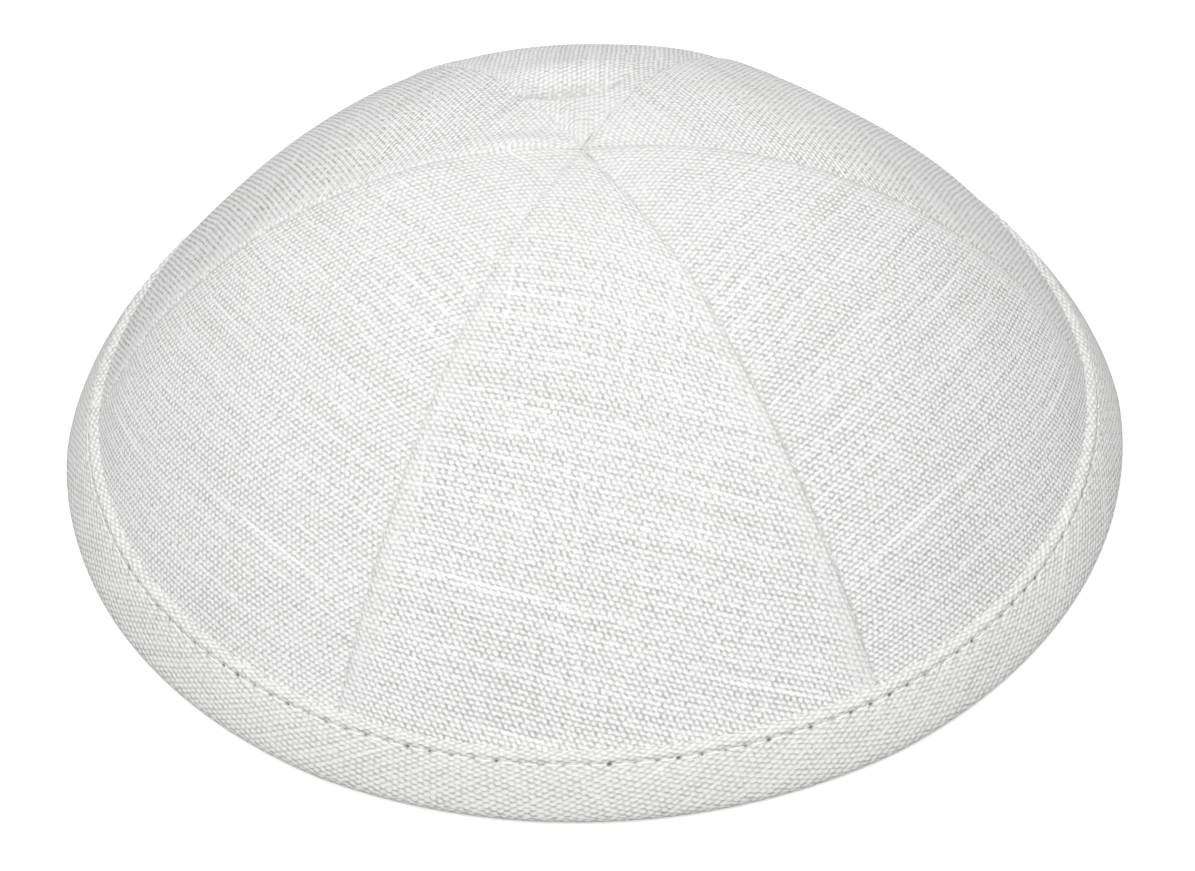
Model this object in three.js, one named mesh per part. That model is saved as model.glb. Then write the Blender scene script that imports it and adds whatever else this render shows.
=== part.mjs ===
// A kippah skullcap of white linen: six sewn panels and a folded binding round the rim.
// Millimetres, +Z up. The cap rests on its rim at z = 0 with the middle of the rim at the origin,
// and the front panel faces -Y.
import * as THREE from 'three';

// Driving sizes of the whole cap
const RIM_DIAMETER = 170;      // across the binding at its widest
const SEAM_POINT_HEIGHT = 57.6;  // where the six seams meet
const PANEL_COUNT = 6;
const CLOTH = 1.0;             // crown wall
const GAP = 0.3;               // between sewn pieces

// Binding: a tape folded over the raw edge of the crown
const TAPE = 1.0;              // one folded leaf
const FOLD_RISE = 2.0;         // the crown's raw edge above the surface that the cap rests on
const FOLD_ROLL = 1.35;        // the fold's widest line outside the raw edge
const BINDING_HEIGHT = 9.3;    // lip of the outer leaf above the surface
const INNER_LEAF = 7.5;        // how far the inner leaf reaches up the wall

// Meridian of the crown along a seam
const WALL_LEAN = THREE.MathUtils.degToRad(33.4);  // from upright, under the binding
const WALL_HANDLE = 25.9;                          // how long the wall keeps that lean
const CROWN_HANDLE = 39.9;                         // how far the flat of the crown reaches
const SEAM_DIP = THREE.MathUtils.degToRad(6.6);    // the seams' slope down into their meeting point

// Plan of the crown: how far panels are flat between seams, and which sides are fuller
const RIM_FLATNESS = 0.032;
const PANEL_FLATNESS = 0.2;
const FLATNESS_RISE = 0.35;    // share of the crown over which the panels become flat
const FRONT_FULLNESS = 0.0115;
const SIDE_FULLNESS = 0.03;
const SHOULDER_FULLNESS = 0.013;  // the lower crown swells out and the upper draws in

// Dents and puckers: a place by azimuth and distance from the axis, with half lengths
const DENTS = [
  { name: 'back_crease', azimuth: 98, radius: 14, depth: 1.7, radial: 3.2, around: 10 },
  { name: 'back_bulge', azimuth: 98, radius: 21, depth: -0.9, radial: 4.5, around: 10 },
  { name: 'left_pucker_top', azimuth: 172, radius: 9, depth: -0.5, radial: 4.5, around: 2.4 },
  { name: 'left_pucker_low', azimuth: 185, radius: 26, depth: -0.6, radial: 5.0, around: 3.0 },
];

// Facets
const COLUMNS = 12;            // across one panel
const ROWS = 20;               // from the raw edge to the tip
const ROW_CROWDING = 1.25;     // rows lie closer together towards the tip
const TIP_RADIUS = 0.7;        // a panel's tip stops this far from the axis

const LINEN = { color: 0xf2f2f0, roughness: 0.9, metalness: 0 };
const TAPE_LINEN = { color: 0xeeeeec, roughness: 0.9, metalness: 0 };

const PANELS = [
  { name: 'panel_front', azimuth: -90 },
  { name: 'panel_front_right', azimuth: -30 },
  { name: 'panel_back_right', azimuth: 30 },
  { name: 'panel_back', azimuth: 90 },
  { name: 'panel_back_left', azimuth: 150 },
  { name: 'panel_front_left', azimuth: 210 },
];

const HALF_PANEL = Math.PI / PANEL_COUNT;
const EDGE_RADIUS = RIM_DIAMETER / 2 - FOLD_ROLL;
const UP_WALL = new THREE.Vector2(-Math.sin(WALL_LEAN), Math.cos(WALL_LEAN));
const OUT_OF_WALL = new THREE.Vector2(Math.cos(WALL_LEAN), Math.sin(WALL_LEAN));
const RAW_EDGE = new THREE.Vector2(EDGE_RADIUS, FOLD_RISE);
const COVERED = (BINDING_HEIGHT - FOLD_RISE) / Math.cos(WALL_LEAN);  // wall under the outer leaf

// The crown's outer face along a seam, as radius and height, from the raw edge to the axis.
function seamMeridian() {
  const bindingTop = RAW_EDGE.clone().addScaledVector(UP_WALL, COVERED);
  const wallHandle = bindingTop.clone().addScaledVector(UP_WALL, WALL_HANDLE);
  const seamPoint = new THREE.Vector2(0, SEAM_POINT_HEIGHT);
  const crownHandle = new THREE.Vector2(Math.cos(SEAM_DIP), Math.sin(SEAM_DIP))
    .multiplyScalar(CROWN_HANDLE)
    .add(seamPoint);
  const path = new THREE.CurvePath();
  path.add(new THREE.LineCurve(RAW_EDGE, bindingTop));
  path.add(new THREE.CubicBezierCurve(bindingTop, wallHandle, crownHandle, seamPoint));
  return path;
}

const MERIDIAN = seamMeridian();
const MERIDIAN_LENGTH = MERIDIAN.getLength();

// A panel is flatter than a circle between its two seams, which stand out as soft ridges.
function panelFactor(azimuth, flatness) {
  const fromSeam = THREE.MathUtils.euclideanModulo(azimuth, 2 * HALF_PANEL) - HALF_PANEL;
  return 1 - flatness + flatness * Math.cos(HALF_PANEL) / Math.cos(fromSeam);
}

function rimFactor(azimuth) {
  return panelFactor(azimuth, RIM_FLATNESS);
}

function dentDepth(azimuth, radius) {
  let depth = 0;
  for (const dent of DENTS) {
    const turn = azimuth - THREE.MathUtils.degToRad(dent.azimuth);
    const radial = (radius * Math.cos(turn) - dent.radius) / dent.radial;
    const around = radius * Math.sin(turn) / dent.around;
    depth += dent.depth * Math.exp(-radial * radial - around * around);
  }
  return depth;
}

// A point of the crown wall: share runs from the raw edge to the axis, depth is inwards.
function wallPoint(share, azimuth, depth) {
  const onSeam = MERIDIAN.getPoint(share);
  const along = MERIDIAN.getTangent(share);
  const crown = Math.max(0, (share * MERIDIAN_LENGTH - COVERED) / (MERIDIAN_LENGTH - COVERED));
  const rise = THREE.MathUtils.smoothstep(crown, 0, FLATNESS_RISE);
  const flatness = THREE.MathUtils.lerp(RIM_FLATNESS, PANEL_FLATNESS, rise);
  const fullness = -FRONT_FULLNESS * Math.sin(azimuth) + SIDE_FULLNESS * Math.cos(2 * azimuth);
  const swell = fullness * Math.sin(Math.PI * crown) + SHOULDER_FULLNESS * Math.sin(2 * Math.PI * crown);
  const factor = panelFactor(azimuth, flatness) * (1 + swell);
  const sunk = depth + dentDepth(azimuth, onSeam.x * factor);
  const radius = onSeam.x * factor - along.y * sunk;
  const height = onSeam.y + along.x * sunk;
  return new THREE.Vector3(radius * Math.cos(azimuth), radius * Math.sin(azimuth), height);
}

// One panel: a strip of cloth, cut with rows and columns, bent to its place between two seams.
function panelGeometry(centreAzimuth) {
  const cut = new THREE.BoxGeometry(2, 1, 1, COLUMNS, ROWS, 1);
  const place = cut.attributes.position;
  const tipShare = 1 - TIP_RADIUS / MERIDIAN_LENGTH;
  for (let i = 0; i < place.count; i++) {
    const across = place.getX(i);
    const up = 1 - Math.pow(0.5 - place.getY(i), ROW_CROWDING);
    const inward = 0.5 - place.getZ(i);
    const share = up * tipShare;
    const clearance = Math.asin(GAP / 2 / MERIDIAN.getPoint(share).x);
    const azimuth = centreAzimuth + across * (HALF_PANEL - clearance);
    place.setXYZ(i, ...wallPoint(share, azimuth, inward * CLOTH).toArray());
  }
  cut.computeVertexNormals();
  return cut;
}

// A point of the binding's section: along the wall from the raw edge, and out of its outer face.
function tapePoint(along, out) {
  return RAW_EDGE.clone().addScaledVector(UP_WALL, along).addScaledVector(OUT_OF_WALL, out);
}

// The tape's section: the slot for the wall, then the inner leaf, the fold and the outer leaf.
function tapeSection() {
  const outside = GAP + TAPE;
  const slotInside = -CLOTH - GAP;
  const inside = slotInside - TAPE;
  const lip = 0.8;          // rolled edge of a leaf
  const bead = 0.2;         // how far the lip stands out
  const stitchLine = 2.0;   // below the lip
  const stitchSink = 0.3;
  const flat = { outer: 0.5, inner: -2.2 };  // where the fold is flattened by resting
  return [
    tapePoint(-GAP, GAP),
    tapePoint(-GAP, slotInside),
    tapePoint(INNER_LEAF, slotInside),
    tapePoint(INNER_LEAF, slotInside - TAPE / 2),
    tapePoint(INNER_LEAF - lip, inside),
    tapePoint(TAPE / 2, inside),
    new THREE.Vector2(EDGE_RADIUS + flat.inner, 0),
    new THREE.Vector2(EDGE_RADIUS + flat.outer, 0),
    new THREE.Vector2(EDGE_RADIUS + FOLD_ROLL, FOLD_RISE - GAP),
    tapePoint(COVERED / 3, outside),
    tapePoint(COVERED - 2 * stitchLine, outside),
    tapePoint(COVERED - stitchLine, outside - stitchSink),
    tapePoint(COVERED - lip, outside + bead),
    tapePoint(COVERED, outside - bead),
    tapePoint(COVERED, GAP),
  ];
}

// The binding follows the rim's plan, so the turned section is drawn in where the panels are flat.
function bindingGeometry() {
  const section = tapeSection();
  const ring = new THREE.LatheGeometry([...section, section[0].clone()], COLUMNS * PANEL_COUNT);
  ring.rotateX(Math.PI / 2);
  const place = ring.attributes.position;
  for (let i = 0; i < place.count; i++) {
    const azimuth = Math.atan2(place.getY(i), place.getX(i));
    const turned = Math.hypot(place.getX(i), place.getY(i));
    const radius = turned + EDGE_RADIUS * (rimFactor(azimuth) - 1);
    place.setXY(i, radius * Math.cos(azimuth), radius * Math.sin(azimuth));
  }
  ring.computeVertexNormals();
  return ring;
}

function namedMesh(name, geometry, finish) {
  const mesh = new THREE.Mesh(geometry, new THREE.MeshStandardMaterial(finish));
  mesh.name = name;
  return mesh;
}

const cap = new THREE.Group();
const crown = new THREE.Group();
for (const { name, azimuth } of PANELS) {
  crown.add(namedMesh(name, panelGeometry(THREE.MathUtils.degToRad(azimuth)), LINEN));
}
cap.add(crown, namedMesh('binding', bindingGeometry(), TAPE_LINEN));

export default cap;
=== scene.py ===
"""A white linen kippah skullcap: six sewn panels, a folded bias binding and its topstitches.

Metres, +Z up. The cap rests on its rim at z = 0, with the front panel towards -Y.
"""

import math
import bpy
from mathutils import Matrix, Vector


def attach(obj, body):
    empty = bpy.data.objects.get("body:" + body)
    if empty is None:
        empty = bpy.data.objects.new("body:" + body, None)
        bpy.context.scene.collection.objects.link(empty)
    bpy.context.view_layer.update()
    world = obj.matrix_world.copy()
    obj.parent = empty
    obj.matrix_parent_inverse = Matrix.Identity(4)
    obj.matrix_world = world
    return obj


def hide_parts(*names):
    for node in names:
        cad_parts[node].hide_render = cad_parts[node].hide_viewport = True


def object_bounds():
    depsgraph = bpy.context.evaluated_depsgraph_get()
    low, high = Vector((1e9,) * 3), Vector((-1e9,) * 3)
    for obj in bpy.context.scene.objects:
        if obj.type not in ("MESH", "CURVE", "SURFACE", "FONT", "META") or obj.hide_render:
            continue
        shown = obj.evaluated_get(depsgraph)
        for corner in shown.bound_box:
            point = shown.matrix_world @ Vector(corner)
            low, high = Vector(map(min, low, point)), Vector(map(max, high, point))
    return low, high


bl_info = {
    "name": "Linen Skullcap",
    "version": (1, 0, 0),
    "blender": (4, 5, 0),
    "location": "3D View > Sidebar > Skullcap",
    "description": "Sews a six-panel linen skullcap over its packed frame",
    "category": "Add Mesh",
}

from typing import NamedTuple

import bpy
import numpy as np
from bpy.props import FloatProperty, FloatVectorProperty, PointerProperty
from bpy.types import Operator, Panel, PropertyGroup
from mathutils import Matrix, Vector, noise

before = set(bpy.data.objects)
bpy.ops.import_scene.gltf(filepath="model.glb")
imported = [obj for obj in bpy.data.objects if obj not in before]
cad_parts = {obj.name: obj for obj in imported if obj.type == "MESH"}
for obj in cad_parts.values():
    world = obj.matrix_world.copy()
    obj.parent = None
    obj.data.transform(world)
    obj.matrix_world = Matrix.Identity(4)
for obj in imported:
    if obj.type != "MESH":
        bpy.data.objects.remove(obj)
CAD_BOX = [list(corner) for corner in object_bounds()]
RIM_WIDTH = CAD_BOX[1][0] - CAD_BOX[0][0]
BODY = "root"
MM = 0.001
HOLES = "needle_hole"  # how far each point of the binding is in a needle hole, where shade is painted
SHADE = "shade"        # how much shade is painted at each point of a panel, in its seams and its folds
PRESSED = "pressed"    # how far the weave's painted gap shade is evened out at each point: where the cloth is pressed flat, and round the tip, standing in for the brighter light there; deepened where negative

PHOTO_WIDTH = 1195   # pixels
SENSOR_WIDTH = 36.0  # millimetres
SMOOTH_ANGLE = math.radians(60)  # edges blunter than this are shaded smooth

# The crown's cloth near its seams, its tip and its rim
SEAM_HOLD = 3 * MM        # how far from a seam it still holds a dent back
TIP_REACH = 62 * MM       # radius within which seams fade towards the tip
TIP_SEAM = 0.1            # how sharp a seam still is at the tip
FREE_SHARE = 0.08         # share of the crown over which the cloth comes free of the binding
RIPPLE_LENGTH = 17 * MM   # from one slow wave to the next
GATHER_LENGTH = 3.2 * MM  # from one gather to the next
GATHER_REACH = 3.5 * MM   # how far from a seam its gathers die out

# How the gaps between the linen's threads add up
RISING_GAPS = 0.40      # gaps that slant one way across the threads
FALLING_GAPS = 0.60     # gaps that slant the other way
TIGHTEST = 0.2          # how open the tightest crossings are
LOFT = 1.6              # how much more open the loosest ones are
LOFT_SCALE = 0.9        # changes from tight to loose for each thread
FIBRE_SCALE = 1500      # fibres a metre
FIBRE_DETAIL = 2
CROSSING_WEIGHT = 0.44
ROW_WEIGHT = 0.25       # the gap between two rows of weft
FIBRE_WEIGHT = 0.9
SLUB_WEIGHT = 0.18      # how far a slub closes the gaps beside it
GAP_EDGES = -0.4, 0.95  # sums at which a gap is shut and fully open
PRESSED_GAP = 0.38      # what pressing brings every gap nearer to
PRESSED_SHARE = 0.5     # how near, where the cloth is pressed flat

# Finish of the linen and of the sewing thread, and of the shade painted into seams and needle holes
LINEN_ROUGHNESS = 0.92
LINEN_GLOSS = 0.06
LINEN_BUMP = 0.8
SLUB_EDGES = 0.1, 0.9    # how thick a slub is where its colour begins, and where it is full
SEAM_BREAKS = 700        # breaks a metre in the painted shade of a seam
BREAK_EDGES = 0.2, 0.7
HOLE_EDGES = 0.22, 0.75  # how far in a hole its painted shade begins, and where it is full
THREAD_ROUGHNESS = 0.6
THREAD_SHEEN = 0.2
THREAD_FIBRES = 4000     # a metre
THREAD_RELIEF = 0.05 * MM


class Gore(NamedTuple):
    """One panel of the crown, with how its cloth was laid when it was cut."""

    piece: str
    node: str
    azimuth: float     # degrees, of the middle of the panel
    grain: float       # degrees, the weft against the rim
    skew: float        # degrees, the warp's lean out of square with the weft
    face: int          # 1, or -1 where the cloth's other face is outside
    press: float       # how far it was ironed flat, evening out its painted gap shade; if negative, how far that painted shade is deepened, standing in for the shading of its threads seen at a grazing angle
    seam: float        # how much shade is painted into the seam on its counter-clockwise edge
    allowances: tuple  # edges with a seam allowance under them: 1 counter-clockwise, -1 clockwise


class Dent(NamedTuple):
    """A hollow in the crown, or a swelling where its depth is negative, and the shade painted into it;
    millimetres.
    """

    name: str
    azimuth: float    # degrees
    radius: float     # from the axis
    depth: float
    radial: float     # half length along the radius
    around: float     # half length across it
    bow: float = 0    # how far its ends bend away from the axis
    lean: float = 0   # how far it leans over towards the axis, or away from it
    held: float = 0   # share of it that the seams hold back
    shade: float = 0  # how much shade is painted into the cloth in it

    def weight(self, azimuth, radius):
        """One in the middle of the dent, falling to nought round it."""
        turn = azimuth - math.radians(self.azimuth)
        around = radius * np.sin(turn) / (self.around * MM)
        middle = (self.radius + self.bow * around ** 2) * MM
        radial = (radius * np.cos(turn) - middle) / (self.radial * MM)
        return np.exp(-radial ** 2 - around ** 2)


class Yarn(NamedTuple):
    """One set of threads in the linen: how they stray, and how their girth changes."""

    stray: float        # how far they stray from their line, in threads
    stray_scale: float  # strays a metre
    girth_scale: float  # changes of girth in a metre of thread
    apart: float        # keeps the girths of neighbouring threads unlike
    slub_edges: tuple   # girths, out of 1, at which a slub begins and is full
    uneven: float       # how far a thick thread closes the gaps beside it


WARP = Yarn(0.9, 110, 36, 17.3, (0.81, 0.94), 0.16)
WEFT = Yarn(0.8, 90, 30, 23.7, (0.77, 0.92), 0.3)

GORES = (
    Gore("front_linen", "panel_front", -90, -16, 8, 1, 0, 1.0, (-1, 1)),
    Gore("front_right_linen", "panel_front_right", -30, -5, 3, 1, 0, 1.0, (1,)),
    Gore("back_right_linen", "panel_back_right", 30, 4, -1, 1, -0.2, 0.6, (1,)),
    Gore("back_linen", "panel_back", 90, 87, 2, 1, 0, 0.9, (1,)),
    Gore("back_left_linen", "panel_back_left", 150, -4, 1, -1, -1.1, 1.1, (1,)),
    Gore("front_left_linen", "panel_front_left", 210, 4, 2, -1, 0.3, 0.6, ()),
)

DENTS = (
    Dent("back_crease", 98, 16.5, 1.5, 3.6, 9, held=0.8),
    Dent("back_bulge", 98, 22.5, -0.8, 4.5, 9),
    Dent("back_fold", 97, 14.2, 1.4, 1.5, 8, bow=2.8, held=0.8),
    Dent("back_fold_ridge", 97, 12.2, -0.4, 1.4, 8, bow=2.8, lean=-0.5, held=0.8),
    # These two only paint shade along the fold behind the tip; they neither sink nor lean the cloth
    Dent("back_fold_line", 97, 13.8, 0, 0.65, 8, bow=2.8, held=0.5, shade=2.6),
    Dent("back_fold_shadow", 97, 15.6, 0, 2.0, 8, bow=2.8, held=0.5, shade=0.8),
    Dent("back_fullness", 104, 42, -0.35, 14, 12),
    Dent("back_right_slack", 45, 56, 0.65, 15, 13),
    Dent("back_right_seam_slack", 60, 50, 0.35, 13, 6),
    Dent("left_pucker_top", 172, 9, -0.7, 4.5, 1.8),
    Dent("left_pucker_low", 185, 26, -0.7, 5.0, 2.6),
)


class CrownSettings(PropertyGroup):
    """Shape of the crown and of its cloth."""

    rim_diameter: FloatProperty(
        name="Rim diameter", description="Across the binding at its widest",
        default=RIM_WIDTH, min=0.1, unit="LENGTH")
    seam_point_height: FloatProperty(
        name="Seam point height", description="Where the six seams meet, above the rim",
        default=57.6 * MM, unit="LENGTH")
    cloth: FloatProperty(
        name="Cloth", description="Thickness of the crown wall",
        default=1.0 * MM, unit="LENGTH")
    seam_gap: FloatProperty(
        name="Seam gap", description="Between the turned edges of two panels",
        default=0.006 * MM, unit="LENGTH")
    wall_lean: FloatProperty(
        name="Wall lean", description="Lean of the wall from upright, under the binding",
        default=math.radians(33.4), subtype="ANGLE")
    wall_handle: FloatProperty(
        name="Wall handle", description="How long the wall keeps its lean",
        default=25.9 * MM, unit="LENGTH")
    crown_handle: FloatProperty(
        name="Crown handle", description="How far the flat of the crown reaches",
        default=39.9 * MM, unit="LENGTH")
    seam_dip: FloatProperty(
        name="Seam dip", description="Slope of the seams down into their meeting point",
        default=math.radians(6.6), subtype="ANGLE")
    rim_flatness: FloatProperty(
        name="Rim flatness", description="How far the rim is flat between seams", default=0.032)
    panel_flatness: FloatProperty(
        name="Panel flatness", description="How far the panels are flat between seams", default=0.2)
    flatness_rise: FloatProperty(
        name="Flatness rise", description="Share of the crown over which the panels become flat",
        default=0.35)
    front_fullness: FloatProperty(
        name="Front fullness", description="How far the front swells out more than the back",
        default=0.0115)
    side_fullness: FloatProperty(
        name="Side fullness", description="How far the sides swell out more than front and back",
        default=0.03)
    shoulder_fullness: FloatProperty(
        name="Shoulder fullness",
        description="How far the lower crown swells out and the upper draws in",
        default=0.013)
    ditch_depth: FloatProperty(
        name="Seam ditch", description="How deep the cloth turns in along a seam",
        default=0.16 * MM, unit="LENGTH")
    ditch_width: FloatProperty(
        name="Ditch width", description="Half width of that turn",
        default=0.3 * MM, unit="LENGTH")
    seam_line: FloatProperty(
        name="Seam line", description="Half width of the shade in a seam",
        default=0.32 * MM, unit="LENGTH")
    ridge_round: FloatProperty(
        name="Ridge rounding", description="How far the ridge along a seam is rounded off",
        default=0.25 * MM, unit="LENGTH")
    ridge_width: FloatProperty(
        name="Ridge width", description="Half width of that rounding",
        default=3.5 * MM, unit="LENGTH")
    welt_height: FloatProperty(
        name="Seam welt", description="Rise over the seam allowance beside a seam",
        default=0.30 * MM, unit="LENGTH")
    welt_width: FloatProperty(
        name="Welt width", description="Width of the seam allowance",
        default=4 * MM, unit="LENGTH")
    seam_roll: FloatProperty(
        name="Seam roll", description="Way over which the welt rolls down into its seam",
        default=1.2 * MM, unit="LENGTH")
    pucker: FloatProperty(
        name="Seam pucker", description="Height of the gathers along a seam",
        default=0.12 * MM, unit="LENGTH")
    ripple: FloatProperty(
        name="Ripple", description="Height of the slow waves in the cloth",
        default=0.35 * MM, unit="LENGTH")


class BindingSettings(PropertyGroup):
    """The tape folded over the rim, and the thread that holds it."""

    tape: FloatProperty(
        name="Tape", description="Thickness of one folded leaf", default=1.0 * MM, unit="LENGTH")
    clearance: FloatProperty(
        name="Clearance", description="Between the tape and the crown wall",
        default=0.1 * MM, unit="LENGTH")
    fold_rise: FloatProperty(
        name="Fold rise", description="Raw edge of the crown above the surface",
        default=2.0 * MM, unit="LENGTH")
    fold_roll: FloatProperty(
        name="Fold roll", description="Widest line of the fold outside the raw edge",
        default=1.35 * MM, unit="LENGTH")
    height: FloatProperty(
        name="Height", description="Lip of the outer leaf above the surface",
        default=9.3 * MM, unit="LENGTH")
    inner_leaf: FloatProperty(
        name="Inner leaf", description="How far the inner leaf reaches up the wall",
        default=7.5 * MM, unit="LENGTH")
    stitch_line: FloatProperty(
        name="Stitch line", description="Below the lip", default=1.9 * MM, unit="LENGTH")
    stitch_pitch: FloatProperty(
        name="Stitch pitch", description="From one needle hole to the next",
        default=3.45 * MM, unit="LENGTH")
    thread: FloatProperty(
        name="Thread", description="Diameter of the sewing thread", default=0.42 * MM, unit="LENGTH")
    groove: FloatProperty(
        name="Groove", description="How far the stitches pull the tape in",
        default=0.06 * MM, unit="LENGTH")
    hole: FloatProperty(
        name="Needle hole", description="Depth of the dimple at each needle hole",
        default=0.7 * MM, unit="LENGTH")


class LinenSettings(PropertyGroup):
    """Weave and colours of the linen, and of the shade painted into it."""

    warp_pitch: FloatProperty(
        name="Warp pitch", description="From one warp thread to the next",
        default=0.50 * MM, unit="LENGTH")
    weft_pitch: FloatProperty(
        name="Weft pitch", description="From one weft thread to the next",
        default=0.78 * MM, unit="LENGTH")
    relief: FloatProperty(
        name="Relief", description="Height of a thread over the gaps of the weave",
        default=0.25 * MM, unit="LENGTH")
    thread_colour: FloatVectorProperty(
        name="Thread colour", description="Bleached linen thread",
        default=(0.966, 0.972, 0.965), subtype="COLOR", min=0, max=1)
    tape_colour: FloatVectorProperty(
        name="Tape colour", description="Thread of the bias tape",
        default=(0.917, 0.919, 0.91), subtype="COLOR", min=0, max=1)
    slub_colour: FloatVectorProperty(
        name="Slub colour", description="Thick places in the thread",
        default=(1.0, 1.0, 0.998), subtype="COLOR", min=0, max=1)
    # Colour of the shade painted into the gaps between the threads
    gap_shade_colour: FloatVectorProperty(
        name="Gap colour", description="Shade between the threads",
        default=(0.412, 0.424, 0.408), subtype="COLOR", min=0, max=1)
    # Colour of the shade painted into the seams and the fold behind the tip
    seam_shade_colour: FloatVectorProperty(
        name="Seam colour", description="Shade in the seams",
        default=(0.60, 0.60, 0.59), subtype="COLOR", min=0, max=1)
    # Colour of the shade painted into the needle holes
    hole_shade_colour: FloatVectorProperty(
        name="Hole colour", description="Shade in the needle holes",
        default=(0.24, 0.24, 0.235), subtype="COLOR", min=0, max=1)


class StageSettings(PropertyGroup):
    """Camera and light."""

    camera_distance: FloatProperty(
        name="Camera distance", description="From the point that the camera is aimed at",
        default=0.5613, unit="LENGTH")
    camera_azimuth: FloatProperty(
        name="Camera azimuth", description="Turn of the camera about the cap, from straight in front",
        default=math.radians(-0.36), subtype="ANGLE")
    camera_elevation: FloatProperty(
        name="Camera elevation", description="Angle of the camera above the level",
        default=math.radians(42.41), subtype="ANGLE")
    camera_roll: FloatProperty(
        name="Camera roll", description="Turn of the camera about its own line of sight",
        default=math.radians(-2.45), subtype="ANGLE")
    focal_pixels: FloatProperty(
        name="Focal length", description="Focal length in pixels of the photograph", default=3460.6)
    world_light: FloatProperty(
        name="Surround", description="Strength of the even light all round", default=0.54)
    key_power: FloatProperty(
        name="Key light", description="Power of the soft light overhead, a little to the front",
        default=8.4, unit="POWER")


class Meridian:
    """The crown's outer face along a seam, from the raw edge to the axis, by length along it."""

    STEPS = 3000

    def __init__(self, crown, binding):
        lean = crown.wall_lean
        self.up_wall = np.array([-math.sin(lean), math.cos(lean)])
        self.out_of_wall = np.array([math.cos(lean), math.sin(lean)])
        self.raw_edge = np.array([crown.rim_diameter / 2 - binding.fold_roll, binding.fold_rise])
        self.covered = (binding.height - binding.fold_rise) / math.cos(lean)
        top = self.raw_edge + self.up_wall * self.covered
        seam_point = np.array([0.0, crown.seam_point_height])
        crown_way = np.array([math.cos(crown.seam_dip), math.sin(crown.seam_dip)])
        wall_handle = top + self.up_wall * crown.wall_handle
        crown_handle = seam_point + crown_way * crown.crown_handle
        t = np.linspace(0, 1, self.STEPS)[:, None]
        bend = (1 - t) ** 3 * top + 3 * (1 - t) ** 2 * t * wall_handle
        bend += 3 * (1 - t) * t ** 2 * crown_handle + t ** 3 * seam_point
        wall = np.linspace(self.raw_edge, top, self.STEPS // 4, endpoint=False)
        self.points = np.vstack([wall, bend])
        steps = np.hypot(*np.diff(self.points, axis=0).T)
        self.arc = np.concatenate([[0], np.cumsum(steps)])
        self.length = self.arc[-1]
        slope = np.gradient(self.points, self.arc, axis=0)
        self.slope = slope / np.hypot(*slope.T)[:, None]

    def at(self, arc):
        """Radius and height, and the outward direction's radius and height, at each length."""
        radius, height = (np.interp(arc, self.arc, column) for column in self.points.T)
        inward, upward = (np.interp(arc, self.arc, column) for column in self.slope.T)
        return radius, height, upward, -inward

    def crown_share(self, arc):
        """Nought up to the binding's lip, then rising to one at the axis."""
        return np.clip((arc - self.covered) / (self.length - self.covered), 0, 1)


def smooth(x):
    """Eases from nought to one."""
    x = np.clip(x, 0, 1)
    return x * x * (3 - 2 * x)


def panel_factor(azimuth, flatness):
    """How far a panel lies inside the circle through its seams."""
    half = math.pi / len(GORES)
    from_middle = np.mod(azimuth, 2 * half) - half
    return 1 - flatness + flatness * math.cos(half) / np.cos(from_middle)


def dented(azimuth, radius, from_seam):
    """The crown's dents and swellings: how deep, how far they lean along X and Y, and how much shade is
    painted in them.
    """
    depth, lean_x, lean_y, shade = (np.zeros_like(radius) for _ in range(4))
    near_seam = np.exp(-(from_seam / SEAM_HOLD) ** 2)
    for dent in DENTS:
        weight = dent.weight(azimuth, radius) * (1 - dent.held * near_seam)
        depth += dent.depth * MM * weight
        lean_x -= dent.lean * MM * math.cos(math.radians(dent.azimuth)) * weight
        lean_y -= dent.lean * MM * math.sin(math.radians(dent.azimuth)) * weight
        shade += dent.shade * weight
    return depth, lean_x, lean_y, shade


def slow_waves(points, wavelength):
    """Slow waves, about -1 to 1, over points in space."""
    return np.array([noise.noise(Vector(point) / wavelength) for point in points])


def clear_of_tip(radius):
    """Nought at the tip, where the allowances are pressed flat over each other, rising to one."""
    return smooth(radius / TIP_REACH)


def seam_strength(radius):
    """How sharp a seam is."""
    return TIP_SEAM + (1 - TIP_SEAM) * clear_of_tip(radius)


def over_allowance(crown, from_allowance):
    """One over a seam allowance, falling to nought beside it."""
    return np.exp(-(from_allowance / crown.welt_width) ** 4)


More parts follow.
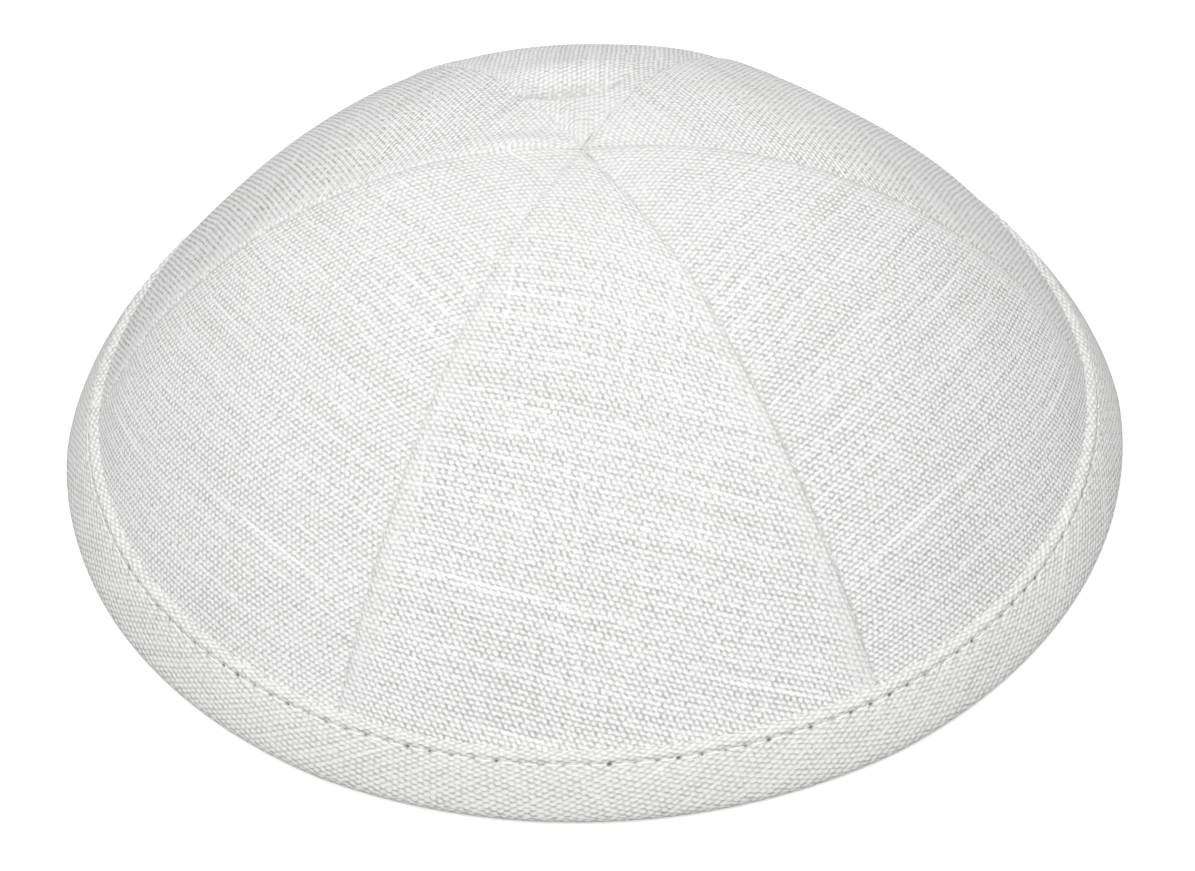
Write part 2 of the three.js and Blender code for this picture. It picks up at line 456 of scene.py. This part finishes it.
def crown_surface(crown, meridian, arc, azimuth, from_seam, from_allowance, seam):
    """Points of the crown's outer face, and how much shade is painted into its seams and folds there.

    The last three arguments are the ways across the cloth to the nearest seam and to the nearest
    seam whose allowance is pressed under this panel, and how much shade is painted into the nearest
    seam.
    """
    radius, height, out_radius, out_height = meridian.at(arc)
    share = meridian.crown_share(arc)
    rise = smooth(share / crown.flatness_rise)
    flatness = crown.rim_flatness + (crown.panel_flatness - crown.rim_flatness) * rise
    fullness = -crown.front_fullness * np.sin(azimuth) + crown.side_fullness * np.cos(2 * azimuth)
    swell = fullness * np.sin(math.pi * share) + crown.shoulder_fullness * np.sin(2 * math.pi * share)
    radius = radius * panel_factor(azimuth, flatness) * (1 + swell)
    free = smooth(share / FREE_SHARE)
    sink, lean_x, lean_y, shade = dented(azimuth, radius, from_seam)
    # Shade painted along the seams
    in_seam = np.exp(-(from_seam / crown.seam_line) ** 2)
    shade = np.maximum(shade, in_seam * seam * seam_strength(radius))
    sink += crown.ridge_round * np.exp(-(from_seam / crown.ridge_width) ** 2) * free
    sink += crown.ditch_depth * np.exp(-(from_seam / crown.ditch_width) ** 2) * seam_strength(radius)
    welt = smooth(from_allowance / crown.seam_roll) * over_allowance(crown, from_allowance)
    sink -= crown.welt_height * welt * free
    plain = np.column_stack([radius * np.cos(azimuth), radius * np.sin(azimuth), height])
    sink -= crown.ripple * slow_waves(plain, RIPPLE_LENGTH) * free
    gathers = slow_waves(plain, GATHER_LENGTH) * np.exp(-from_seam / GATHER_REACH)
    sink -= crown.pucker * gathers * free
    radius = radius - out_radius * sink
    height = height - out_height * sink
    across = radius * np.cos(azimuth) + lean_x
    deep = radius * np.sin(azimuth) + lean_y
    return np.column_stack([across, deep, height]), shade


def deselect_all():
    """Leaves nothing selected, so that an operator reaches only what is made next."""
    if bpy.context.mode != "OBJECT":
        bpy.ops.object.mode_set(mode="OBJECT")
    bpy.ops.object.select_all(action="DESELECT")


def flat_cloth(name, columns, rows):
    """A flat grid to be bent into place: its object and its coordinates from -1 to 1."""
    deselect_all()
    bpy.ops.mesh.primitive_grid_add(x_subdivisions=columns, y_subdivisions=rows, size=2)
    piece = bpy.context.object
    piece.name = name
    piece.data.name = name
    flat = np.empty(len(piece.data.vertices) * 3)
    piece.data.vertices.foreach_get("co", flat)
    return piece, flat.reshape(-1, 3)


def place_cloth(piece, points, cloth_across, cloth_along):
    """Moves the grid's points to their places, with its weave coordinates kept in the UV map."""
    mesh = piece.data
    mesh.vertices.foreach_set("co", points.astype(np.float32).ravel())
    corners = np.empty(len(mesh.loops), dtype=np.int32)
    mesh.loops.foreach_get("vertex_index", corners)
    weave = np.column_stack([cloth_across, cloth_along])[corners]
    mesh.uv_layers[0].name = "weave"
    mesh.uv_layers[0].uv.foreach_set("vector", weave.astype(np.float32).ravel())
    mesh.update()


def keep_values(piece, name, values):
    """Keeps a number at each point of a piece, for its material."""
    piece.data.attributes.new(name, "FLOAT", "POINT").data.foreach_set("value", values)


def weave_lie(wide, tall, grain, skew):
    """Across the warp and along it, at places on a flat piece of cloth; the angles are in degrees."""
    warp_way, weft_way = math.radians(grain + skew), math.radians(grain + 90)
    across = wide * math.cos(warp_way) + tall * math.sin(warp_way)
    along = wide * math.cos(weft_way) + tall * math.sin(weft_way)
    return across, along


def apply_modifier(piece, kind, **values):
    """Adds one modifier to a piece and applies it."""
    modifier = piece.modifiers.new(kind.lower(), kind)
    for key, value in values.items():
        setattr(modifier, key, value)
    bpy.context.view_layer.objects.active = piece
    bpy.ops.object.modifier_apply(modifier=modifier.name)


def finish_piece(piece, material, slot, *nodes):
    """Smooths, dresses and seats a finished piece."""
    deselect_all()
    piece.select_set(True)
    bpy.context.view_layer.objects.active = piece
    bpy.ops.object.shade_smooth_by_angle(angle=SMOOTH_ANGLE)
    piece.data.materials.clear()
    piece.data.materials.append(material)
    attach(piece, BODY)
    if nodes:
        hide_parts(*nodes)


class Field:
    """A number that varies over a surface; arithmetic on it adds Math nodes."""

    def __init__(self, tree, socket):
        self.tree = tree
        self.socket = socket

    def math(self, operation, *others):
        """One Math node on this field."""
        maths = self.tree.nodes.new("ShaderNodeMath")
        maths.operation = operation
        self.tree.links.new(self.socket, maths.inputs[0])
        for place, other in enumerate(others, start=1):
            if isinstance(other, Field):
                self.tree.links.new(other.socket, maths.inputs[place])
            else:
                maths.inputs[place].default_value = other
        return Field(self.tree, maths.outputs[0])

    def __add__(self, other):
        return self.math("ADD", other)

    def __sub__(self, other):
        return self.math("SUBTRACT", other)

    def __mul__(self, other):
        return self.math("MULTIPLY", other)

    def __truediv__(self, other):
        return self.math("DIVIDE", other)

    def eased(self, low, high):
        """Nought below low, one above high, eased between."""
        ramp = self.tree.nodes.new("ShaderNodeMapRange")
        ramp.interpolation_type = "SMOOTHSTEP"
        self.tree.links.new(self.socket, ramp.inputs["Value"])
        ramp.inputs["From Min"].default_value = low
        ramp.inputs["From Max"].default_value = high
        return Field(self.tree, ramp.outputs[0])


def noise_field(tree, first, second, scale=1.0, detail=0.0):
    """Smooth noise, about 0 to 1, over two fields."""
    joined = tree.nodes.new("ShaderNodeCombineXYZ")
    tree.links.new(first.socket, joined.inputs[0])
    tree.links.new(second.socket, joined.inputs[1])
    texture = tree.nodes.new("ShaderNodeTexNoise")
    texture.noise_dimensions = "2D"
    texture.inputs["Scale"].default_value = scale
    texture.inputs["Detail"].default_value = detail
    tree.links.new(joined.outputs[0], texture.inputs["Vector"])
    return Field(tree, texture.outputs[0])


def mixed_colour(tree, share, first, second):
    """A colour between two, by a field."""
    mix = tree.nodes.new("ShaderNodeMix")
    mix.data_type = "RGBA"
    tree.links.new(share.socket, mix.inputs["Factor"])
    for key, colour in (("A", first), ("B", second)):
        socket = next(s for s in mix.inputs if s.name == key and s.type == "RGBA")
        if isinstance(colour, bpy.types.NodeSocket):
            tree.links.new(colour, socket)
        else:
            socket.default_value = (*colour, 1.0)
    return next(s for s in mix.outputs if s.type == "RGBA")


def attribute_field(tree, name):
    """A number kept at the points of the mesh."""
    attribute = tree.nodes.new("ShaderNodeAttribute")
    attribute.attribute_name = name
    return Field(tree, attribute.outputs["Fac"])


def lay_yarn(tree, yarn, pitch, across, along):
    """One set of threads: their number across the cloth, the wave over them, their girth and slubs."""
    stray = noise_field(tree, across, along, scale=yarn.stray_scale, detail=1)
    number = across / pitch + stray * yarn.stray
    wave = (number * (2 * math.pi)).math("COSINE")
    girth = noise_field(tree, number.math("FLOOR") * yarn.apart, along * yarn.girth_scale)
    slub = girth.eased(*yarn.slub_edges) * (wave * -0.5 + 0.5)
    return number, wave, (girth - 0.5) * yarn.uneven, slub


def plain_weave(tree, linen, across, along):
    """How far each point of the cloth is in a gap between threads, and in a thick slub."""
    warp, _, warp_girth, warp_slub = lay_yarn(tree, WARP, linen.warp_pitch, across, along)
    weft, weft_wave, weft_girth, weft_slub = lay_yarn(tree, WEFT, linen.weft_pitch, along, across)
    rising = ((warp - weft) * math.pi).math("COSINE")
    falling = ((warp + weft) * math.pi).math("COSINE")
    loft = noise_field(tree, warp, weft, scale=LOFT_SCALE) * LOFT + TIGHTEST
    crossing = (rising * RISING_GAPS - falling * FALLING_GAPS) * loft
    fibres = noise_field(tree, across, along, scale=FIBRE_SCALE, detail=FIBRE_DETAIL) - 0.5
    slub = weft_slub + warp_slub
    gap = crossing * CROSSING_WEIGHT + weft_wave * ROW_WEIGHT + fibres * FIBRE_WEIGHT
    gap = gap - (weft_girth + warp_girth) - slub * SLUB_WEIGHT
    gap = gap.eased(*GAP_EDGES)
    pressed = attribute_field(tree, PRESSED) * PRESSED_SHARE
    gap = gap + (gap * -1.0 + PRESSED_GAP) * pressed
    return gap, slub


def linen_material(name, linen, thread_colour):
    """Plain-weave linen on the piece's weave map: threads over and under, small gaps, thick slubs, with
    shade painted into the gaps, the seams, the folds and the needle holes.
    """
    material = bpy.data.materials.new(name)
    material.use_nodes = True
    tree = material.node_tree
    shader = tree.nodes["Principled BSDF"]
    shader.inputs["Roughness"].default_value = LINEN_ROUGHNESS
    shader.inputs["Specular IOR Level"].default_value = LINEN_GLOSS

    cloth = tree.nodes.new("ShaderNodeUVMap")
    cloth.uv_map = "weave"
    parts = tree.nodes.new("ShaderNodeSeparateXYZ")
    tree.links.new(cloth.outputs["UV"], parts.inputs[0])
    across, along = (Field(tree, parts.outputs[axis]) for axis in "XY")
    gap, slub = plain_weave(tree, linen, across, along)

    thread = mixed_colour(tree, slub.eased(*SLUB_EDGES), thread_colour, linen.slub_colour)
    # Shade painted into the gaps between the threads
    tone = mixed_colour(tree, gap, thread, linen.gap_shade_colour)
    # Shade painted into the seams and the fold behind the tip, broken up along them
    broken = noise_field(tree, across, along, scale=SEAM_BREAKS).eased(*BREAK_EDGES)
    tone = mixed_colour(tree, attribute_field(tree, SHADE) * broken, tone, linen.seam_shade_colour)
    # Shade painted into the needle holes
    hole = attribute_field(tree, HOLES).eased(*HOLE_EDGES)
    tone = mixed_colour(tree, hole, tone, linen.hole_shade_colour)
    tree.links.new(tone, shader.inputs["Base Color"])

    height = gap * -1.0
    bump = tree.nodes.new("ShaderNodeBump")
    bump.inputs["Strength"].default_value = LINEN_BUMP
    bump.inputs["Distance"].default_value = linen.relief
    tree.links.new(height.socket, bump.inputs["Height"])
    tree.links.new(bump.outputs[0], shader.inputs["Normal"])
    return material


def thread_material(name, linen):
    """White sewing thread with its fibres."""
    material = bpy.data.materials.new(name)
    material.use_nodes = True
    tree = material.node_tree
    shader = tree.nodes["Principled BSDF"]
    shader.inputs["Roughness"].default_value = THREAD_ROUGHNESS
    shader.inputs["Sheen Weight"].default_value = THREAD_SHEEN
    place = tree.nodes.new("ShaderNodeTexCoord")
    fibres = tree.nodes.new("ShaderNodeTexNoise")
    fibres.inputs["Scale"].default_value = THREAD_FIBRES
    tree.links.new(place.outputs["Object"], fibres.inputs["Vector"])
    tone = mixed_colour(tree, Field(tree, fibres.outputs[0]), linen.thread_colour, linen.slub_colour)
    tree.links.new(tone, shader.inputs["Base Color"])
    bump = tree.nodes.new("ShaderNodeBump")
    bump.inputs["Distance"].default_value = THREAD_RELIEF
    tree.links.new(fibres.outputs[0], bump.inputs["Height"])
    tree.links.new(bump.outputs[0], shader.inputs["Normal"])
    return material


class SKULLCAP_OT_panels(Operator):
    """Cuts six tapering panels of linen and sews them into the crown"""

    bl_idname = "skullcap.panels"
    bl_label = "Sew the Panels"
    bl_options = {"REGISTER", "UNDO"}

    COLUMNS = 130
    ROWS = 200
    ROW_CROWDING = 1.6    # rows lie closer together towards the tip
    EDGE_CROWDING = 0.88  # columns lie closer together towards the seams
    TIP_RADIUS = 0.06 * MM
    PRESSED_STRIP = 0.7   # how flat the cloth is ironed over a seam allowance
    PRESSED_TIP = 26 * MM  # radius of the tip within which the weave's painted gap shade is evened out, standing in for the brighter light there

    def execute(self, context):
        scene = context.scene
        crown, binding = scene.skullcap_crown, scene.skullcap_binding
        meridian = Meridian(crown, binding)
        linen = scene.skullcap_linen
        material = linen_material("crown_linen", linen, linen.thread_colour)
        for gore, clockwise in zip(GORES, GORES[-1:] + GORES[:-1]):
            piece = self.sew(crown, meridian, gore, clockwise.seam)
            finish_piece(piece, material, "crown_linen", gore.node)
        return {"FINISHED"}

    def sew(self, crown, meridian, gore, clockwise_seam):
        """One panel, bent between its seams and given its thickness."""
        piece, flat = flat_cloth(gore.piece, self.COLUMNS, self.ROWS)
        half = math.pi / len(GORES)
        to_tip = ((1 - flat[:, 1]) / 2) ** self.ROW_CROWDING
        arc = (1 - to_tip) * (meridian.length - self.TIP_RADIUS)
        crowded = np.sin(flat[:, 0] * math.pi / 2)
        across = flat[:, 0] + (crowded - flat[:, 0]) * self.EDGE_CROWDING
        radius, _, _, out_height = meridian.at(arc)
        clearance = np.arcsin(np.clip(crown.seam_gap / 2 / radius, 0, 1))
        turn = across * (half - clearance)
        from_seam = (1 - np.abs(across)) * half * radius
        from_allowance = np.full_like(radius, np.inf)
        for edge in gore.allowances:
            from_allowance = np.minimum(from_allowance, (1 - edge * across) * half * radius)
        # How much shade is painted into the seam on each edge
        seam = np.where(across > 0, gore.seam, clockwise_seam)
        azimuth = math.radians(gore.azimuth) + turn
        points, shade = crown_surface(crown, meridian, arc, azimuth, from_seam, from_allowance, seam)
        bend = out_height / radius
        wide = np.sin(bend * turn * radius) / bend
        tall = self.up_the_cloth(points) + (1 - np.cos(bend * turn * radius)) / bend
        across_warp, along_warp = weave_lie(wide, tall, gore.grain, gore.skew)
        place_cloth(piece, points, across_warp * gore.face, along_warp)
        strip = over_allowance(crown, from_allowance)
        # Painted gap shade is evened out round the tip, for the brighter light there, and deepened on
        # panels whose press is negative
        tip = np.exp(-(radius / self.PRESSED_TIP) ** 2)
        pressed = np.maximum(strip * self.PRESSED_STRIP, tip)
        pressed += gore.press * clear_of_tip(radius) * (1 - strip)
        keep_values(piece, SHADE, shade)
        keep_values(piece, PRESSED, pressed)
        apply_modifier(piece, "SOLIDIFY", thickness=crown.cloth, offset=-1.0)
        return piece

    def up_the_cloth(self, points):
        """Each point's way up the cloth from the raw edge, through its dents and over its swellings."""
        columns = points.reshape(self.ROWS + 1, self.COLUMNS + 1, 3)
        steps = np.linalg.norm(np.diff(columns, axis=0), axis=2)
        return np.vstack([np.zeros(self.COLUMNS + 1), np.cumsum(steps, axis=0)]).ravel()


def tape_section(binding, meridian, cloth):
    """The folded tape's section, a closed line from the fold up the outer leaf, as radius and height.

    The corners of the leaves and of the slot between them are given as ways up the wall from its raw
    edge, and out of its outer face.
    """
    gap, tape = binding.clearance, binding.tape
    outside = gap + tape
    slot_inside = -cloth - gap
    inside = slot_inside - tape
    top, line = meridian.covered, meridian.covered - binding.stitch_line
    edge = meridian.raw_edge[0]
    fold = [(edge + binding.fold_roll, binding.fold_rise * 0.85)]
    outer_leaf = [
        # Padded out between the fold and the stitches
        (top * 0.2, outside + 0.15 * MM),
        (top * 0.4, outside + 0.2 * MM),
        (top * 0.6, outside + 0.15 * MM),
        (line - 1.6 * MM, outside + 0.1 * MM),
        (line - 0.9 * MM, outside),
        # Drawn in along the stitches
        (line - 0.45 * MM, outside - binding.groove * 0.6),
        (line, outside - binding.groove),
        (line + 0.4 * MM, outside - binding.groove * 0.5),
        # Over the lip and in behind it
        (line + 0.75 * MM, outside + 0.11 * MM),
        (line + 1.1 * MM, outside + 0.1 * MM),
        (top - 0.4 * MM, outside - 0.3 * MM),
        (top, outside - 0.8 * MM),
        (top + 0.1 * MM, -0.02 * MM),
        (top - 1.2 * MM, gap),
    ]
    slot = [(0.0, gap), (-gap, (gap + slot_inside) / 2), (0.0, slot_inside)]
    inner_leaf = [
        (binding.inner_leaf - 0.1 * MM, slot_inside),
        (binding.inner_leaf, slot_inside - tape / 2),
        (binding.inner_leaf - 0.6 * MM, inside),
        (binding.inner_leaf / 2, inside - 0.1 * MM),
        (tape, inside),
    ]
    resting = [
        (edge - 2.4 * MM, 0.45 * MM),
        (edge - 1.9 * MM, 0.0),
        (edge - 0.7 * MM, 0.0),
        (edge + 0.3 * MM, 0.0),
        (edge + 1.0 * MM, 0.5 * MM),
    ]
    on_wall = np.array(outer_leaf + slot + inner_leaf)
    up, out = on_wall[:, :1], on_wall[:, 1:]
    leaves = meridian.raw_edge + up * meridian.up_wall + out * meridian.out_of_wall
    return np.vstack([fold, leaves, resting])


def rounded_loop(corners, per_span):
    """A smooth closed line through the corners."""
    before, after, beyond = (np.roll(corners, shift, axis=0) for shift in (1, -1, -2))
    t = np.linspace(0, 1, per_span, endpoint=False)[None, :, None]
    a, b, c, d = (group[:, None, :] for group in (before, corners, after, beyond))
    curve = 0.5 * (2 * b + (c - a) * t + (2 * a - 5 * b + 4 * c - d) * t ** 2
                   + (3 * b - a - 3 * c + d) * t ** 3)
    return curve.reshape(-1, 2)


class SKULLCAP_OT_binding(Operator):
    """Folds the bias tape over the rim"""

    bl_idname = "skullcap.binding"
    bl_label = "Fold the Binding"
    bl_options = {"REGISTER", "UNDO"}

    PER_STITCH = 11          # steps round the rim for each stitch
    PER_SPAN = 2             # steps between two corners of the section
    GRAIN = 30               # degrees, the weft of the bias-cut tape against its length
    SKEW = 15                # degrees, the warp's lean out of square with the weft
    PRESSED_FLAT = 0.45      # how far the tape is ironed
    WELD = 0.001 * MM        # points this close are joined where the grid's edges meet
    SEED = 7                 # for the unevenness of hand-guided stitches
    SLIP = 0.06              # share of a stitch that a needle hole can be out of place
    WEAKEST_PULL = 0.5       # of the thread on a needle hole, where the strongest is 1
    HOLE_LENGTH = 0.45 * MM  # half length of a needle hole, along the row
    HOLE_WIDTH = 0.32 * MM   # half width of it
    PUFF = 0.09 * MM         # how far the tape stands out between two holes, and sinks at them
    PUFF_WIDTH = 1.4 * MM    # half width of that

    def execute(self, context):
        scene = context.scene
        crown, binding = scene.skullcap_crown, scene.skullcap_binding
        meridian = Meridian(crown, binding)
        section = rounded_loop(tape_section(binding, meridian, crown.cloth), self.PER_SPAN)
        section[:, 1] = np.maximum(section[:, 1], 0)
        loop = np.vstack([section, section[:1]])
        around_section = np.concatenate([[0], np.cumsum(np.hypot(*np.diff(loop, axis=0).T))])
        stitches = stitch_count(meridian, binding)
        steps = stitches * self.PER_STITCH

        piece, flat = flat_cloth("binding_linen", steps, len(loop) - 1)
        azimuth = (flat[:, 0] - 0.5) * math.pi
        row = np.rint((flat[:, 1] + 1) / 2 * (len(loop) - 1)).astype(int)
        radius, height = loop[row].T
        points, hole = self.follow_rim(crown, binding, meridian, azimuth, radius, height, stitches)
        keep_values(piece, HOLES, hole)
        keep_values(piece, PRESSED, np.full_like(hole, self.PRESSED_FLAT))
        weave = weave_lie(azimuth * meridian.raw_edge[0], around_section[row], self.GRAIN, self.SKEW)
        place_cloth(piece, points, *weave)
        bpy.ops.object.mode_set(mode="EDIT")
        bpy.ops.mesh.select_all(action="SELECT")
        bpy.ops.mesh.remove_doubles(threshold=self.WELD)
        bpy.ops.object.mode_set(mode="OBJECT")
        linen = scene.skullcap_linen
        material = linen_material("binding_linen", linen, linen.tape_colour)
        finish_piece(piece, material, "binding_linen", "binding")
        return {"FINISHED"}

    def follow_rim(self, crown, binding, meridian, azimuth, radius, height, stitches):
        """Bends the tape to the rim's plan, and says how far each point is in a needle hole."""
        out = (radius - meridian.raw_edge[0]) * meridian.out_of_wall[0]
        out += (height - meridian.raw_edge[1]) * meridian.out_of_wall[1]
        along = (radius - meridian.raw_edge[0]) * meridian.up_wall[0]
        along += (height - meridian.raw_edge[1]) * meridian.up_wall[1]
        phase = azimuth / (2 * math.pi) * stitches
        nearest = np.rint(phase).astype(int) % stitches
        chance = np.random.default_rng(self.SEED)
        slip = chance.uniform(-self.SLIP, self.SLIP, stitches)[nearest]
        pull = chance.uniform(self.WEAKEST_PULL, 1.0, stitches)[nearest]
        to_hole = (phase - np.rint(phase) - slip) * binding.stitch_pitch
        to_line = along - (meridian.covered - binding.stitch_line)
        outside = smooth((out - binding.clearance) / binding.tape)
        hole = pull * np.exp(-(to_hole / self.HOLE_LENGTH) ** 2 - (to_line / self.HOLE_WIDTH) ** 2)
        puff = np.cos(2 * math.pi * phase) * np.exp(-(to_line / self.PUFF_WIDTH) ** 2)
        sink = outside * (binding.hole * hole + self.PUFF * puff)
        plan = meridian.raw_edge[0] * (panel_factor(azimuth, crown.rim_flatness) - 1)
        radius = radius + plan - meridian.out_of_wall[0] * sink
        height = height - meridian.out_of_wall[1] * sink
        points = np.column_stack([radius * np.cos(azimuth), radius * np.sin(azimuth), height])
        return points, hole * outside


def stitch_count(meridian, binding):
    """Whole stitches round the rim."""
    return round(2 * math.pi * meridian.raw_edge[0] / binding.stitch_pitch)


class SKULLCAP_OT_stitches(Operator):
    """Sews one row of topstitches through the binding"""

    bl_idname = "skullcap.stitches"
    bl_label = "Sew the Topstitches"
    bl_options = {"REGISTER", "UNDO"}

    SIDES = 6        # of the thread
    RINGS = 8        # along a stitch
    LENGTH = 0.66    # of a stitch, as a share of the pitch
    FLATNESS = 0.8   # thickness of a stitch, as a share of the thread
    SUNK = 0.05      # how deep its middle lies in the groove, as a share of the thread
    DIVE = 1.1       # how deep the thread is at a needle hole, as a share of the thread

    def execute(self, context):
        scene = context.scene
        crown, binding = scene.skullcap_crown, scene.skullcap_binding
        meridian = Meridian(crown, binding)
        count = stitch_count(meridian, binding)
        first = self.one_stitch(binding)
        on_line = meridian.covered - binding.stitch_line
        lift = binding.clearance + binding.tape - binding.groove - binding.thread * self.SUNK
        seat = meridian.raw_edge + meridian.up_wall * on_line + meridian.out_of_wall * lift
        copies = []
        for number in range(count):
            azimuth = (number + 0.5) / count * 2 * math.pi
            plan = meridian.raw_edge[0] * (panel_factor(azimuth, crown.rim_flatness) - 1)
            outward = Vector((math.cos(azimuth), math.sin(azimuth), 0))
            around = Vector((-math.sin(azimuth), math.cos(azimuth), 0))
            lifted = outward * meridian.out_of_wall[0] + Vector((0, 0, meridian.out_of_wall[1]))
            upward = lifted.cross(around)
            turn = Matrix((around, upward, lifted)).transposed().to_4x4()
            spot = outward * float(seat[0] + plan) + Vector((0, 0, float(seat[1])))
            copy = first.copy()
            copy.data = first.data.copy()
            copy.data.transform(Matrix.Translation(spot) @ turn)
            scene.collection.objects.link(copy)
            copies.append(copy)
        bpy.data.objects.remove(first)
        deselect_all()
        for copy in copies:
            copy.select_set(True)
        context.view_layer.objects.active = copies[0]
        bpy.ops.object.join()
        piece = context.view_layer.objects.active
        piece.name = "binding_stitches"
        finish_piece(piece, thread_material("sewing_thread", scene.skullcap_linen), "binding_linen")
        return {"FINISHED"}

    def one_stitch(self, binding):
        """A short length of thread whose ends dive into their needle holes."""
        deselect_all()
        bpy.ops.mesh.primitive_uv_sphere_add(segments=self.SIDES, ring_count=self.RINGS, radius=0.5)
        stitch = bpy.context.object
        bpy.ops.object.mode_set(mode="EDIT")
        bpy.ops.mesh.select_all(action="SELECT")
        bpy.ops.transform.rotate(value=math.pi / 2, orient_axis="Y", center_override=(0, 0, 0))
        length, thickness = binding.stitch_pitch * self.LENGTH, binding.thread * self.FLATNESS
        bpy.ops.transform.resize(value=(length, binding.thread, thickness))
        bpy.ops.object.mode_set(mode="OBJECT")
        for vertex in stitch.data.vertices:
            reach = 2 * vertex.co.x / binding.stitch_pitch
            vertex.co.z -= binding.thread * self.DIVE * abs(reach) ** 3
        return stitch


class SKULLCAP_OT_stage(Operator):
    """Lays the pale floor and sets the studio light and the camera"""

    bl_idname = "skullcap.stage"
    bl_label = "Set the Stage"
    bl_options = {"REGISTER", "UNDO"}

    WHITE = (1, 1, 1, 1)
    FLOOR_COLOUR = (0.95, 0.95, 0.95, 1)
    FLOOR_GLOW = 0.3
    FLOOR_SIZE = 6                     # metres
    FLOOR_DROP = 0.05 * MM             # below the rim
    KEY_SIZE = 0.7                     # metres
    KEY_PLACE = (-0.06, -0.50, 1.08)   # metres, aimed at the middle of the rim
    AIM = (0.6 * MM, 0, -1.2 * MM)     # the point that the camera is aimed at
    CLIP_START = 0.01                  # metres in front of the camera

    def execute(self, context):
        stage = context.scene.skullcap_stage
        self.lay_floor()
        self.light(context.scene, stage)
        self.aim_camera(context.scene, stage)
        return {"FINISHED"}

    def lay_floor(self):
        """A wide pale floor, just under the rim, with a faint glow of its own."""
        deselect_all()
        bpy.ops.mesh.primitive_plane_add(size=self.FLOOR_SIZE, location=(0, 0, -self.FLOOR_DROP))
        floor = bpy.context.object
        floor.name = "floor"
        material = bpy.data.materials.new("pale_floor")
        material.use_nodes = True
        shader = material.node_tree.nodes["Principled BSDF"]
        shader.inputs["Base Color"].default_value = self.FLOOR_COLOUR
        shader.inputs["Roughness"].default_value = 1.0
        shader.inputs["Specular IOR Level"].default_value = 0.0
        shader.inputs["Emission Color"].default_value = self.WHITE
        shader.inputs["Emission Strength"].default_value = self.FLOOR_GLOW
        floor.data.materials.append(material)
        floor.visible_diffuse = False

    def light(self, scene, stage):
        """Even light all round, with a soft key overhead, a little to the front."""
        world = bpy.data.worlds.new("studio")
        world.use_nodes = True
        background = world.node_tree.nodes["Background"]
        background.inputs["Color"].default_value = self.WHITE
        background.inputs["Strength"].default_value = stage.world_light
        scene.world = world
        scene.view_settings.view_transform = "Standard"
        lamp = bpy.data.lights.new("key", "AREA")
        lamp.shape = "DISK"
        lamp.size = self.KEY_SIZE
        lamp.energy = stage.key_power
        key = bpy.data.objects.new("key", lamp)
        key.location = self.KEY_PLACE
        key.rotation_euler = (-key.location).to_track_quat("-Z", "Y").to_euler()
        scene.collection.objects.link(key)

    def aim_camera(self, scene, stage):
        """The photograph's camera, from its own distance, height and tilt."""
        view = bpy.data.cameras.new("camera")
        view.sensor_fit = "HORIZONTAL"
        view.sensor_width = SENSOR_WIDTH
        view.lens = stage.focal_pixels * SENSOR_WIDTH / PHOTO_WIDTH
        view.clip_start = self.CLIP_START
        camera = bpy.data.objects.new("camera", view)
        back = Vector((0, -math.cos(stage.camera_elevation), math.sin(stage.camera_elevation)))
        tilt = Matrix.Rotation(math.pi / 2 - stage.camera_elevation, 4, "X")
        roll = Matrix.Rotation(stage.camera_roll, 4, "Z")
        turn = Matrix.Rotation(stage.camera_azimuth, 4, "Z")
        place = Matrix.Translation(Vector(self.AIM) + back * stage.camera_distance)
        camera.matrix_world = turn @ place @ tilt @ roll
        scene.collection.objects.link(camera)
        scene.camera = camera


class SKULLCAP_PT_sidebar(Panel):
    """Sizes of the cap and the steps that make it"""

    bl_label = "Linen Skullcap"
    bl_idname = "SKULLCAP_PT_sidebar"
    bl_space_type = "VIEW_3D"
    bl_region_type = "UI"
    bl_category = "Skullcap"

    def draw(self, context):
        layout = self.layout
        for key in SETTINGS:
            box = layout.box()
            group = getattr(context.scene, key)
            for name in group.bl_rna.properties.keys():
                if name not in {"rna_type", "name"}:
                    box.prop(group, name)
        for operator in STEPS:
            layout.operator(operator.bl_idname)


SETTINGS = {
    "skullcap_crown": CrownSettings,
    "skullcap_binding": BindingSettings,
    "skullcap_linen": LinenSettings,
    "skullcap_stage": StageSettings,
}
STEPS = (SKULLCAP_OT_stage, SKULLCAP_OT_panels, SKULLCAP_OT_binding, SKULLCAP_OT_stitches)


def register():
    for group in SETTINGS.values():
        bpy.utils.register_class(group)
    for step in STEPS:
        bpy.utils.register_class(step)
    bpy.utils.register_class(SKULLCAP_PT_sidebar)
    for key, group in SETTINGS.items():
        setattr(bpy.types.Scene, key, PointerProperty(type=group))


def unregister():
    for key in SETTINGS:
        delattr(bpy.types.Scene, key)
    bpy.utils.unregister_class(SKULLCAP_PT_sidebar)
    for step in reversed(STEPS):
        bpy.utils.unregister_class(step)
    for group in reversed(SETTINGS.values()):
        bpy.utils.unregister_class(group)


def main():
    """Makes the cap step by step."""
    register()
    bpy.ops.skullcap.stage()
    bpy.ops.skullcap.panels()
    bpy.ops.skullcap.binding()
    bpy.ops.skullcap.stitches()


if __name__ == "__main__":
    main()
